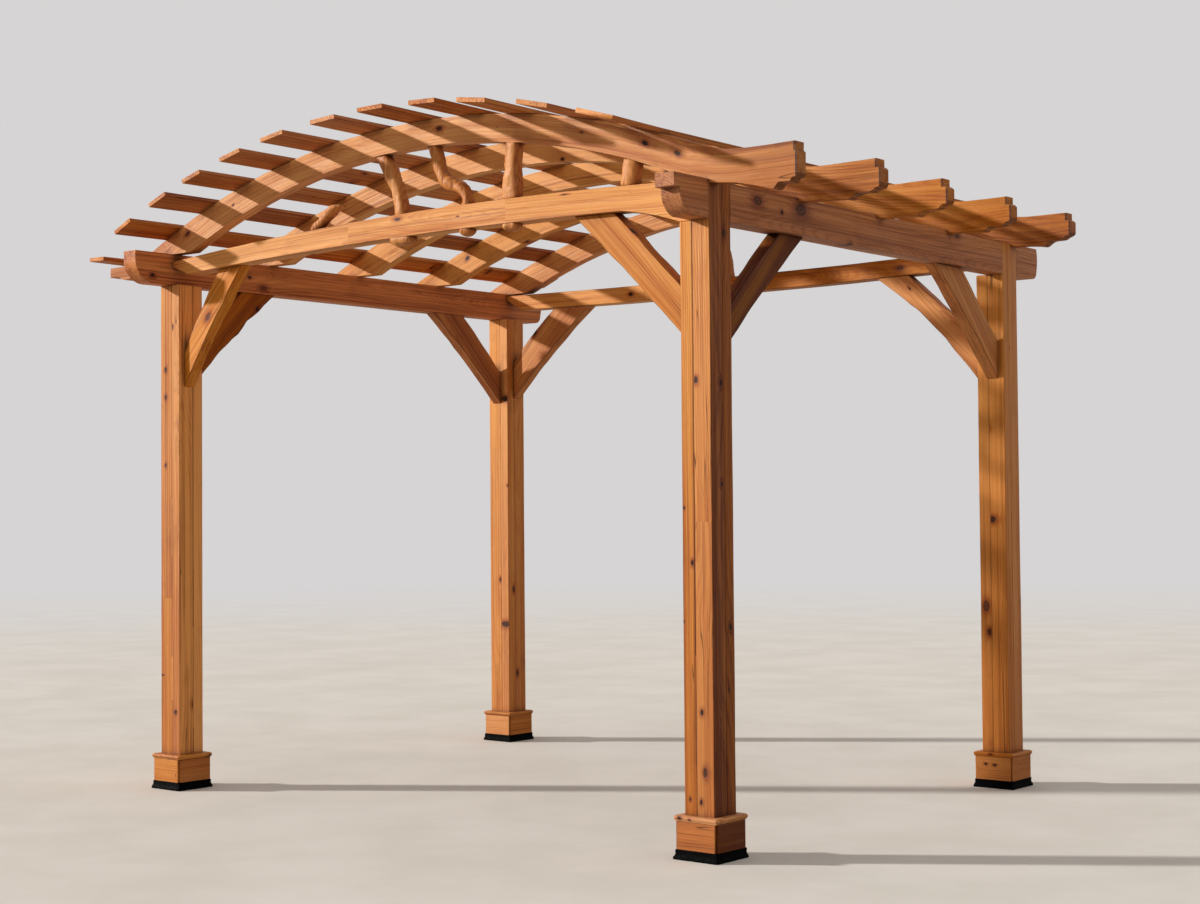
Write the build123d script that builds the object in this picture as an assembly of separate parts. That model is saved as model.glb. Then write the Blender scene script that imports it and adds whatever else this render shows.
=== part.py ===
from build123d import *
from math import asin, copysign, cos, degrees, pi, radians, sin, sqrt
import os

# Arched garden pergola, in millimetres. X runs across the arch, Y from front to back, Z up.
# The origin is on the ground, at the middle of the four posts.

# --- driving dimensions -------------------------------------------------------------------
SPAN = 3170.0            # between post centres, across the arch
DEPTH = 2370.0           # between post centres, front to back
BEAM_BOTTOM = 2440.0     # headroom under the side beams
POST = 140.0             # square post
GROOVE = 3.0             # depth of the glue-line groove down each post face
GROOVE_SHARE = 0.41      # where that groove stands, as a share of the face

BEAM_T = 90.0            # side beam, thickness and depth
BEAM_H = 150.0
BEAM_OUT = 220.0         # how far a side beam runs on past a post face
NIB_H = 52.0             # square top part of a front beam end
NIB_OUT = 38.0           # how far it stands out as a nib, on the right beam only
SWEEP = 72.0             # length of the round under it, on the right beam and on the left
SWEEP_LEFT = 112.0
BULGE = 8.0              # bulge of the plain back end, and the height that it takes up
BULGE_H = 110.0
LAP = 45.0               # depth of the halving between post and side beam

TIE_T = 90.0             # gable tie, front to back
# Top and underside of each tie as arcs: where their middle is, its height above the beams'
# underside, and the radius. The front tie is arched and the back one dips a little.
TIE_FRONT = ((330.0, 187.0, 23900.0), (218.0, 87.0, 33400.0))
TIE_BACK = ((95.0, 121.0, -80000.0), (123.0, 33.0, -80000.0))
TIE_CUT = 115.0          # run of the slanting cut at a tie's end, and the square part above it
TIE_SQUARE = 24.0
HAUNCH = 295.0           # run of the haunch by which the front tie's right end comes down to the post
HAUNCH_BOW = 8.0

RAFTER_T = 60.0          # arched rafter, thickness and depth
ARCH_X = 78.0            # the rafters' crown stands this far to the right of the middle
RAFTER_RISE = 312.0      # underside at the crown, above the beam tops
RAFTER_H = 113.0         # depth at the crown
RAFTER_END = 147.0       # depth where the underside meets the level of the beam tops
RAFTER_IN = 55.0         # which it does this far inside a beam, measured from the arch's own middle
TAIL = 400.0             # reach of a left rafter tail past the beam
FLARE_R = 670.0          # a right tail leaves the arch on this radius and runs out level
# Right tail of each rafter, front to back: how far inside the beam's outer face it leaves the
# arch, reach past the beam, depth of the notch in its end, height of the end, and run of the
# stepped ogee under it.
TAILS = (
    (55.0, 400.0, 8.0, 132.0, 112.0),
    (100.0, 388.0, 18.0, 112.0, 160.0),
    (110.0, 343.0, 22.0, 110.0, 155.0),
    (110.0, 320.0, 20.0, 110.0, 150.0),
    (105.0, 310.0, 18.0, 110.0, 145.0),
)
NOTCH_DOWN = 34.0        # the notch stands this far under the top
NOSE_R = 16.0            # rounding of the end block's lower corner
OGEE_H = 34.0            # full drop of the ogee
HEEL_DOWN = 14.0         # a right tail starts this far under the beam's top
SEAT_DOWN = 28.0         # a left tail's flat seat for the lowest slat is this far under the beam's top
SEAT_X = 160.0           # and its inner shoulder this far outside the beam's outer face
NOSE_LEFT = 48.0         # height of the square left end
OGEE_LEFT = 20.0         # drop and run of its ogee
RUN_LEFT = 120.0
HEEL_LEFT = 60.0         # where a left tail starts, under the beam's top
HEEL = 1.0               # clearance of a rafter's heel against the beam's outer face

SLAT_T = 19.0            # roof slat, thickness
SLAT_OUT = 300.0         # overhang past the gable faces
# Slats on the arch, left to right: place of the middle, and width.
SLATS = (
    (-1559, 128), (-1299, 128), (-1049, 130), (-777, 140), (-492, 148), (-176, 152),
    (117, 150), (422, 150), (695, 158), (1022, 165), (1338, 190),
)
EAVE_W = 110.0           # the lowest slat on the left: width, overhang and clearance at its shoulder
EAVE_OUT = 215.0
EAVE_GAP = 5.0
SLAT_GAP = 0.2           # running clearance under a slat, so that flat lies on curve

BRACE_T = 60.0           # knee brace, thickness
BRACE_BACK = 30.0        # its face lies this far behind the post's face
TRIM = 20.0              # how far a head is drawn past the underside that then trims it
# Braces by corner: reach along the tie or beam, drop down the post, width of the head cut,
# width of the foot cut, and how far its under and its upper edge bow.
GABLE_BRACES = {
    "front_right": (474.0, 447.0, 200.0, 183.0, 6.0, 4.0),
    "front_left": (386.0, 499.0, 156.0, 161.0, 14.0, 8.0),
    "back_left": (537.0, 462.0, 262.0, 205.0, 16.0, 10.0),
    "back_right": (551.0, 527.0, 192.0, 205.0, 37.0, 4.0),
}
SIDE_BRACES = {
    "front_right": (560.0, 490.0, 177.0, 140.0, 10.0, 6.0),
    "front_left": (516.0, 471.0, 220.0, 144.0, 16.0, 10.0),
    "back_left": (560.0, 490.0, 236.0, 172.0, 12.0, 7.0),
    "back_right": (586.0, 500.0, 236.0, 172.0, 8.0, 5.0),
}

PLINTH = 198.0           # boxed plinth round a post, outer size
SHOE_H = 38.0            # black shoe under it
SHOE_LIP = 6.0           # how far the shoe flares out at the ground
SHOE_FLOOR = 10.0        # thickness under the post
PLINTH_TOP = 147.0
CAP_T = 21.0
CAP_OUT = 5.0

# --- what follows from them ---------------------------------------------------------------
HALF_X = SPAN / 2
HALF_Y = DEPTH / 2
OUT_X = HALF_X + POST / 2                 # outer faces of posts and side beams
OUT_Y = HALF_Y + POST / 2                 # gable faces
BEAM_TOP = BEAM_BOTTOM + BEAM_H
BEAM_IN = OUT_X - BEAM_T                  # inner face of a side beam
POST_IN_X = HALF_X - POST / 2
POST_IN_Y = HALF_Y - POST / 2
CHORD = BEAM_IN - RAFTER_IN               # half the arch's width at the level of the beam tops
CROWN = BEAM_TOP + RAFTER_RISE + RAFTER_H
DROP = RAFTER_RISE + RAFTER_H - RAFTER_END
R_IN = (CHORD ** 2 + RAFTER_RISE ** 2) / (2 * RAFTER_RISE)    # underside of a rafter
R_OUT = (CHORD ** 2 + DROP ** 2) / (2 * DROP)                 # and its top

CORNERS = {"front_right": (1, -1), "front_left": (-1, -1), "back_left": (-1, 1), "back_right": (1, 1)}


def circle_z(x, middle, crown, radius):
    """Height at x of an arch with that middle, crown and radius; below zero it is a dip."""
    return crown - radius + copysign(sqrt(radius ** 2 - (x - middle) ** 2), radius)


def rafter_top(x):
    """Height of a rafter's top."""
    return circle_z(x, ARCH_X, CROWN, R_OUT)


def rafter_under(x):
    """Height of a rafter's underside."""
    return circle_z(x, ARCH_X, BEAM_TOP + RAFTER_RISE, R_IN)


def flare(back):
    """Where a right tail leaves the arch, and the two coordinates of where it has run level."""
    leave = OUT_X - back
    lean = asin((leave - ARCH_X) / R_OUT)
    rise = (R_OUT + FLARE_R) * cos(lean) - R_OUT - FLARE_R
    return leave, leave + FLARE_R * sin(lean), CROWN + rise


def tie_line(middle, rise, radius):
    """The height of a tie's top or underside, as a function of x."""
    return lambda x: circle_z(x, middle, BEAM_BOTTOM + rise, radius)


def arc_through(height, x_start, x_end):
    """The part of one of those arches between two places."""
    x_mid = (x_start + x_end) / 2
    return ThreePointArc((x_start, height(x_start)), (x_mid, height(x_mid)), (x_end, height(x_end)))


def plank(face, y_low, y_high):
    """A face drawn in X and Z, as a plank standing between two Y values."""
    return extrude(Plane.XZ.offset(-y_high) * face, amount=y_high - y_low, dir=(0, -1, 0))


def side_plank(face, x_low, x_high):
    """A face drawn in Y and Z, as a plank standing between two X values."""
    return extrude(Plane.YZ.offset(x_low) * face, amount=x_high - x_low, dir=(1, 0, 0))


def block(x_low, x_high, y_low, y_high, z_low, z_high):
    """A plain box between two corners."""
    centre = ((x_low + x_high) / 2, (y_low + y_high) / 2, (z_low + z_high) / 2)
    return Pos(*centre) * Box(x_high - x_low, y_high - y_low, z_high - z_low)


def mirrored(solid, sx, sy):
    """The front-right piece carried to another corner."""
    if sx < 0:
        solid = mirror(solid, Plane.YZ)
    if sy > 0:
        solid = mirror(solid, Plane.XZ)
    return solid


# --- posts ----------------------------------------------------------------------------------
def post():
    """Front-right post: its outer tongue rises through the halving to the beam's top."""
    body = block(POST_IN_X, OUT_X, -OUT_Y, -POST_IN_Y, SHOE_FLOOR, BEAM_BOTTOM)
    tongue = block(OUT_X - LAP, OUT_X, -OUT_Y, -POST_IN_Y, BEAM_BOTTOM, BEAM_TOP)
    body = body + tongue
    gx = POST_IN_X + GROOVE_SHARE * POST
    gy = -OUT_Y + (1 - GROOVE_SHARE) * POST
    cutter = Rot(0, 0, 45) * Box(GROOVE * sqrt(2), GROOVE * sqrt(2), 2 * BEAM_TOP)
    for x, y in ((gx, -OUT_Y), (gx, -POST_IN_Y), (POST_IN_X, gy), (OUT_X, gy)):
        body = body - Pos(x, y, 0) * cutter
    return body


def plinth():
    """Boxed plinth of the front-right post."""
    outer = Box(PLINTH, PLINTH, PLINTH_TOP - SHOE_H)
    box = fillet(outer.edges().filter_by(Axis.Z), 3) - Box(POST, POST, PLINTH_TOP)
    return Pos(HALF_X, -HALF_Y, (PLINTH_TOP + SHOE_H) / 2) * box


def plinth_cap():
    """Thin moulded cap: a square-edged base, then a weathered top that slopes to the post."""
    half = PLINTH / 2 + CAP_OUT
    edge = CAP_T * 0.55
    base = Box(2 * half, 2 * half, edge, align=(Align.CENTER, Align.CENTER, Align.MIN))
    low = Pos(0, 0, edge) * Rectangle(2 * half - 8, 2 * half - 8)
    high = Pos(0, 0, CAP_T) * Rectangle(2 * half - 26, 2 * half - 26)
    cap = base + loft([low.face(), high.face()]) - Box(POST, POST, 4 * CAP_T)
    return Pos(HALF_X, -HALF_Y, PLINTH_TOP) * cap


def shoe():
    """Black shoe: a tray that the post stands in, flared at the ground."""
    wide = PLINTH + 2 * SHOE_LIP
    foot = Rectangle(wide, wide)
    lip = Pos(0, 0, SHOE_H * 0.3) * Rectangle(wide, wide)
    waist = Pos(0, 0, SHOE_H * 0.55) * Rectangle(PLINTH, PLINTH)
    top = Pos(0, 0, SHOE_H) * Rectangle(PLINTH, PLINTH)
    body = loft([foot.face(), lip.face()], ruled=True)
    body = body + loft([lip.face(), waist.face()], ruled=True)
    body = body + loft([waist.face(), top.face()], ruled=True)
    well = Pos(0, 0, SHOE_FLOOR) * Box(POST, POST, SHOE_H, align=(Align.CENTER, Align.CENTER, Align.MIN))
    return Pos(HALF_X, -HALF_Y, 0) * (body - well)


# --- side beams -----------------------------------------------------------------------------
def beam_outline(nib_out, sweep):
    """Side of a beam: square head over a round at the front end, plain bulged end at the back."""
    front = -OUT_Y - BEAM_OUT
    back = OUT_Y + BEAM_OUT
    under_nib = BEAM_TOP - NIB_H
    start = front + nib_out
    toe = start + sweep
    low = BEAM_TOP - BULGE_H
    corner = BEAM_BOTTOM - low
    edges = [
        Line((front, BEAM_TOP), (back - BULGE, BEAM_TOP)),
        ThreePointArc((back - BULGE, BEAM_TOP), (back, BEAM_TOP - BULGE_H / 2), (back - BULGE, low)),
        ThreePointArc(
            (back - BULGE, low),
            (back - BULGE + 0.3 * corner, low + 0.7 * corner),
            (back - BULGE + corner, BEAM_BOTTOM),
        ),
        Line((back - BULGE + corner, BEAM_BOTTOM), (toe, BEAM_BOTTOM)),
        ThreePointArc(
            (toe, BEAM_BOTTOM),
            (start + sweep * 0.27, BEAM_BOTTOM + (BEAM_H - NIB_H) * 0.34),
            (start, under_nib),
        ),
    ]
    if nib_out:
        edges.append(Line((start, under_nib), (front, under_nib)))
    edges.append(Line((front, under_nib), (front, BEAM_TOP)))
    return make_face(edges)


def beam(nib_out, sweep):
    """Side beam on the right, halved where the tongues of its two posts pass."""
    timber = side_plank(beam_outline(nib_out, sweep), BEAM_IN, OUT_X)
    for sy in (-1, 1):
        low, high = sorted((sy * OUT_Y, sy * POST_IN_Y))
        timber = timber - block(OUT_X - LAP, OUT_X, low, high, BEAM_BOTTOM, BEAM_TOP)
    return timber


# --- gable ties -----------------------------------------------------------------------------
def tie(lines, haunched):
    """Front tie between those two lines, butted to the beams, haunched on to the right post or not."""
    top, under = (tie_line(*line) for line in lines)
    left_cut, right_cut = TIE_CUT - BEAM_IN, BEAM_IN - TIE_CUT
    haunch = POST_IN_X - HAUNCH
    bend = ((haunch + POST_IN_X) / 2, (under(haunch) + BEAM_BOTTOM) / 2 + HAUNCH_BOW)
    left_top, right_top = top(-BEAM_IN) - TIE_SQUARE, top(BEAM_IN) - TIE_SQUARE
    if haunched:
        right = [
            arc_through(under, left_cut, haunch),
            ThreePointArc((haunch, under(haunch)), bend, (POST_IN_X, BEAM_BOTTOM)),
            Line((POST_IN_X, BEAM_BOTTOM), (BEAM_IN, BEAM_BOTTOM)),
            Line((BEAM_IN, BEAM_BOTTOM), (BEAM_IN, right_top)),
        ]
    else:
        right = [
            arc_through(under, left_cut, right_cut),
            Line((right_cut, under(right_cut)), (BEAM_IN, right_top)),
        ]
    edges = [
        Line((-BEAM_IN, left_top), (left_cut, under(left_cut))),
        *right,
        Line((BEAM_IN, right_top), (BEAM_IN, top(BEAM_IN))),
        arc_through(top, BEAM_IN, -BEAM_IN),
        Line((-BEAM_IN, top(-BEAM_IN)), (-BEAM_IN, left_top)),
    ]
    return plank(make_face(edges), -OUT_Y, -OUT_Y + TIE_T)


# --- rafters --------------------------------------------------------------------------------
def ogee(start, end):
    """An S between two points, level at both, as two arcs."""
    middle = ((start[0] + end[0]) / 2, (start[1] + end[1]) / 2)
    way = 1 if end[0] > start[0] else -1
    return [TangentArc(start, middle, tangent=(way, 0)), TangentArc(end, middle, tangent=(-way, 0))]


def right_end(top, reach, notch, height, run):
    """Moulded end of a right tail of that level: its edges from the top corner to the heel."""
    tip = OUT_X + reach
    under = top - height
    ledge = top - NOTCH_DOWN
    corner = (tip - notch, top)
    ease = 0.5 * notch
    step_in = (tip - 0.36 * run, under - 0.45 * OGEE_H)
    step_out = (tip - 0.68 * run, under - 0.45 * OGEE_H)
    toe = (tip - run, under - OGEE_H)
    heel = (OUT_X + HEEL, BEAM_TOP - HEEL_DOWN)
    rise = ((toe[0] + heel[0]) / 2, toe[1] + 0.7 * (heel[1] - toe[1]))
    return corner, [
        Line(corner, (tip - notch, ledge)),
        Line((tip - notch, ledge), (tip - ease, ledge)),
        Line((tip - ease, ledge), (tip, ledge - ease)),
        Line((tip, ledge - ease), (tip, under + NOSE_R)),
        TangentArc((tip, under + NOSE_R), (tip - NOSE_R, under), tangent=(0, -1)),
        *ogee((tip - NOSE_R, under), step_in),
        Line(step_in, step_out),
        *ogee(step_out, toe),
        Line(toe, rise),
        Line(rise, heel),
        Line(heel, (heel[0], BEAM_TOP)),
    ]


def left_end():
    """Low square end of a left tail, from its top corner to the heel."""
    tip = -OUT_X - TAIL
    top = BEAM_TOP - SEAT_DOWN
    under = top - NOSE_LEFT
    toe = (tip + RUN_LEFT, under - OGEE_LEFT)
    heel = (-OUT_X - HEEL, BEAM_TOP - HEEL_LEFT)
    start = tip + NOSE_LEFT
    return [
        Line((tip, top), (tip, under)),
        Line((tip, under), (start, under)),
        *ogee((start, under), toe),
        Line(toe, heel),
        Line(heel, (heel[0], BEAM_TOP)),
    ]


def rafter_face(back, *tail):
    """Side of an arched rafter, with its levelled right tail and its lower left tail."""
    leave, level, top = flare(back)
    seat_left, seat_right = ARCH_X - CHORD, ARCH_X + CHORD
    heel = OUT_X + HEEL
    shoulder = OUT_X + SEAT_X
    shelf = BEAM_TOP - SEAT_DOWN
    corner, right = right_end(top, *tail)
    edges = [
        arc_through(rafter_top, -shoulder, leave),
        TangentArc((level, top), (leave, rafter_top(leave)), tangent=(-1, 0)),
        Line((level, top), corner),
        *right,
        Line((heel, BEAM_TOP), (seat_right, BEAM_TOP)),
        arc_through(rafter_under, seat_right, seat_left),
        Line((seat_left, BEAM_TOP), (-heel, BEAM_TOP)),
        *left_end(),
        Line((-OUT_X - TAIL, shelf), (-shoulder, shelf)),
        Line((-shoulder, shelf), (-shoulder, rafter_top(-shoulder))),
    ]
    return make_face(edges)


def rafters():
    """The arched rafters, evenly spaced, the first and last flush with the gable faces."""
    step = (2 * OUT_Y - RAFTER_T) / (len(TAILS) - 1)
    return {
        f"rafter_{i + 1}": plank(rafter_face(*tail), -OUT_Y + i * step, -OUT_Y + i * step + RAFTER_T)
        for i, tail in enumerate(TAILS)
    }


# --- knee braces ----------------------------------------------------------------------------
def brace_face(brace, over):
    """Outline of a brace: foot on a post face at 0, head running up to the left, both edges bowed."""
    reach, drop, head, foot, under_bow, top_bow = brace
    foot_low = (0.0, -drop)
    foot_high = (0.0, foot - drop)
    head_out = (-reach - over * reach / drop, over)
    head_in = (-(reach - head) * (1 + over / (drop - foot)), over)
    length = sqrt(reach ** 2 + drop ** 2)

    def bowed(low, high, bow):
        return ((low[0] + high[0]) / 2 + bow * drop / length, (low[1] + high[1]) / 2 + bow * reach / length)

    edges = [
        Line(foot_low, foot_high),
        ThreePointArc(foot_high, bowed(foot_high, head_in, top_bow), head_in),
        Line(head_in, head_out),
        ThreePointArc(head_out, bowed(foot_low, head_out, under_bow), foot_low),
    ]
    return make_face(edges)


def gable_brace(brace, sx, sy):
    """Brace under a tie, at that corner: its head follows the tie's underside."""
    crown = TIE_FRONT[1] if sy < 0 else TIE_BACK[1]
    soffit = tie_line(*crown)
    face = Pos(POST_IN_X, BEAM_BOTTOM) * brace_face(brace, crown[1] + TRIM)
    timber = plank(face, -OUT_Y + BRACE_BACK, -OUT_Y + BRACE_BACK + BRACE_T)
    high = BEAM_TOP + crown[1]
    left, right = (-POST_IN_X, soffit(-POST_IN_X)), (POST_IN_X, soffit(POST_IN_X))
    outline = [
        arc_through(soffit, -POST_IN_X, POST_IN_X),
        Line(right, (POST_IN_X, high)),
        Line((POST_IN_X, high), (-POST_IN_X, high)),
        Line((-POST_IN_X, high), left),
    ]
    return mirrored(timber, sx, sy) - mirrored(plank(make_face(outline), -OUT_Y, OUT_Y), 1, sy)


def side_brace(brace):
    """Front-right brace under the side beam."""
    face = Pos(-POST_IN_Y, BEAM_BOTTOM) * mirror(brace_face(brace, TRIM), Plane.YZ)
    x_high = OUT_X - BRACE_BACK
    timber = side_plank(face, x_high - BRACE_T, x_high)
    return timber - block(POST_IN_X, OUT_X, -OUT_Y, 0, BEAM_BOTTOM, BEAM_TOP)


# --- gable spokes ---------------------------------------------------------------------------
SPOKE_T = 46.0           # front to back
SPOKE_EASE = 10.0        # its rounded-over long edges, as flats
SPOKE_Y = -OUT_Y + RAFTER_T / 2
VOID_BACK = 100.0        # the spokes keep this far from the posts
# Each crooked spoke, the first of them a short sawn stub: stations up its length as
# (x, share of the height, half width).
SPOKES = (
    ((-600, -0.15, 24), (-545, 0.08, 25), (-490, 0.23, 27), (-430, 0.37, 28)),
    ((-10, -0.20, 24), (-35, 0.30, 25), (-75, 0.65, 29), (-165, 1.15, 34)),
    ((373, -0.20, 21), (356, 0.22, 22), (293, 0.36, 50), (232, 0.52, 24), (205, 0.75, 21), (150, 1.15, 26)),
    ((624, -0.20, 38), (628, 0.30, 36), (634, 0.62, 30), (642, 1.15, 34)),
    ((1245, -0.40, 34), (1255, 0.30, 33), (1262, 0.70, 33), (1270, 1.40, 36)),
)
# Spokes whose lower end passes through the tie: width of the tenon, and of the knob under the tie.
TENONS = {1: (40, 112), 2: (34, 50), 3: (48, 66)}
TENON_T = 32.0           # front to back
TENON_IN = 8.0           # how far it is drawn up into the spoke
KNOB_H = 24.0
BACK_SPOKES = (1, 4)     # the ones that the back gable has too


front_top, front_soffit = (tie_line(*line) for line in TIE_FRONT)


def spoke(stations, tie_top):
    """One crooked spoke, trimmed to that top of a tie below it and to the rafter above."""
    left, right = [], []
    for x, share, half_w in stations:
        low = tie_top(x)
        z = low + share * (rafter_under(x) - low)
        left.append((x - half_w, z))
        right.append((x + half_w, z))
    edges = [
        Spline(*left),
        Line(left[-1], right[-1]),
        Spline(*reversed(right)),
        Line(right[0], left[0]),
    ]
    stick = plank(make_face(edges), SPOKE_Y - SPOKE_T / 2, SPOKE_Y + SPOKE_T / 2)
    faces = stick.faces().sort_by(Axis.Y)
    outline = faces[0].edges() + faces[-1].edges()
    long_edges = [edge for edge in outline if edge.geom_type != GeomType.LINE]
    return chamfer(long_edges, SPOKE_EASE) & gable_void(tie_top)


def tenon(index):
    """Tenon of that spoke down to the tie's underside, with a little of it inside the spoke."""
    x = SPOKES[index][0][0]
    half, knob_half = TENONS[index][0] / 2, TENONS[index][1] / 2
    under = min(front_soffit(x - knob_half), front_soffit(x + knob_half))
    inside = front_top(x) + TENON_IN
    return block(x - half, x + half, SPOKE_Y - TENON_T / 2, SPOKE_Y + TENON_T / 2, under, inside)


def knob(index):
    """Wide end of that spoke under the tie, its lower corners cut off."""
    x = SPOKES[index][0][0]
    width = TENONS[index][1]
    under = tenon(index).bounding_box().min.Z
    body = Pos(x, SPOKE_Y, under - KNOB_H / 2) * Box(width, SPOKE_T, KNOB_H)
    return chamfer(body.faces().sort_by(Axis.Z)[0].edges(), SPOKE_EASE)


def front_spokes():
    """All the spokes of the front gable."""
    made = []
    for index, stations in enumerate(SPOKES):
        stick = spoke(stations, front_top)
        if index in TENONS:
            stick = stick + tenon(index) + knob(index)
        made.append(stick)
    return made


def gable_void(tie_top):
    """The space between that top of a tie and the rafter over it, in which the spokes stand."""
    edge = POST_IN_X - VOID_BACK
    outline = [
        arc_through(tie_top, -edge, edge),
        Line((edge, tie_top(edge)), (edge, rafter_under(edge))),
        arc_through(rafter_under, edge, -edge),
        Line((-edge, rafter_under(-edge)), (-edge, tie_top(-edge))),
    ]
    return plank(make_face(outline), -OUT_Y, -OUT_Y + RAFTER_T)


# --- roof slats -----------------------------------------------------------------------------
def board(width, out):
    """A slat lying flat, that far past the gable faces, its underside's middle at the origin."""
    timber = Box(width, 2 * (OUT_Y + out), SLAT_T, align=(Align.CENTER, Align.CENTER, Align.MIN))
    return chamfer(timber.edges().filter_by(Axis.Y), 2)


def arch_slat(middle, width):
    """A slat lying on the arch at that place."""
    lift = R_OUT + SLAT_GAP
    turn = Rot(0, degrees(asin((middle - ARCH_X) / R_OUT)), 0)
    return Pos(ARCH_X, 0, CROWN - R_OUT) * (turn * (Pos(0, 0, lift) * board(width, SLAT_OUT)))


def eave_slat():
    """The lowest slat on the left, flat in its seat on the tails."""
    middle = -(OUT_X + SEAT_X + EAVE_GAP + EAVE_W / 2)
    return Pos(middle, 0, BEAM_TOP - SEAT_DOWN) * board(EAVE_W, EAVE_OUT)


def slats():
    """The slats, a few to a node, from the left eave over the crown."""
    boards = [eave_slat()] + [arch_slat(middle, width) for middle, width in SLATS]
    groups = {}
    for name, count in (("left_eave", 2), ("left", 3), ("crown", 3), ("right", 2), ("right_eave", 2)):
        groups[f"slats_{name}"] = Compound(children=boards[:count])
        boards = boards[count:]
    return groups


# --- the whole pergola ----------------------------------------------------------------------
def nodes():
    """Every named piece."""
    made = {}
    pieces = {"post": post(), "plinth": plinth(), "plinth_cap": plinth_cap(), "shoe": shoe()}
    for corner, (sx, sy) in CORNERS.items():
        for name, solid in pieces.items():
            made[f"{name}_{corner}"] = mirrored(solid, sx, sy)
        made[f"gable_brace_{corner}"] = gable_brace(GABLE_BRACES[corner], sx, sy)
        made[f"side_brace_{corner}"] = mirrored(side_brace(SIDE_BRACES[corner]), sx, sy)
    made["side_beam_right"] = beam(NIB_OUT, SWEEP)
    made["side_beam_left"] = mirror(beam(0.0, SWEEP_LEFT), Plane.YZ)
    front = tie(TIE_FRONT, True)
    made["gable_tie_back"] = mirror(tie(TIE_BACK, False), Plane.XZ)
    for index in TENONS:
        front = front - tenon(index)
    made["gable_tie_front"] = front
    made.update(rafters())
    made["gable_spokes_front"] = Compound(children=front_spokes())
    back_top = tie_line(*TIE_BACK[0])
    back = [mirror(spoke(SPOKES[index], back_top), Plane.XZ) for index in BACK_SPOKES]
    made["gable_spokes_back"] = Compound(children=back)
    made.update(slats())
    return made


os.makedirs("parts", exist_ok=True)
for node, shape in nodes().items():
    export_step(shape, f"parts/{node}.step")
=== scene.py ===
import math
import random

import bmesh
import bpy
from mathutils import Matrix, Vector, noise


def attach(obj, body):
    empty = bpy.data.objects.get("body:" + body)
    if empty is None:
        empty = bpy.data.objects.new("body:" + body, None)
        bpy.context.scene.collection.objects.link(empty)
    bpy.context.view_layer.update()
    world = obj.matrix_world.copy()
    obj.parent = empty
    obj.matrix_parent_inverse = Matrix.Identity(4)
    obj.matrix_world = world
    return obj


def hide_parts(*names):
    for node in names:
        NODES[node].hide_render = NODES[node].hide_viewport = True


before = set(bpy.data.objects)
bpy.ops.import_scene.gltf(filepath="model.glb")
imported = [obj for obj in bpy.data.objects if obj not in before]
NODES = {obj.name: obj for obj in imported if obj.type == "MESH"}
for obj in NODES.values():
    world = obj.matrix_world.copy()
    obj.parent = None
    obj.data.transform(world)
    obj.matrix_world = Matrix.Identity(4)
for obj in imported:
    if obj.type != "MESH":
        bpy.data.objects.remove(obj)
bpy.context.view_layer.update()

rng = random.Random(4107)

# Sizes of the frame that the grain and the new pieces follow, in metres.
ARCH_X, ARCH_R, ARCH_Z = 0.078, 4.020, -1.0615    # middle line of an arched rafter
TIE_X, TIE_R, TIE_Z = 0.280, 28.0, -25.423        # middle line of the front tie
FLARE_X, LEVEL_X = 1.560, 1.790     # a right tail levels out between these
FLARE_R, FLARE_Z = 0.740, 3.386
FLARE_LENGTH = 1.04                 # length along a right tail, for each metre of x
SHELF_X, SHELF_Z = 1.815, 2.538     # a left tail is flat from here on
POST_X, POST_Y, POST = 1.585, 1.185, 0.140
GLUE_X, GLUE_Y = 1.5724, 1.1724     # where the boards of a laminated post meet
PLINTH, SHOE_H, PLINTH_TOP, CAP_TOP = 0.099, 0.038, 0.147, 0.168


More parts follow.
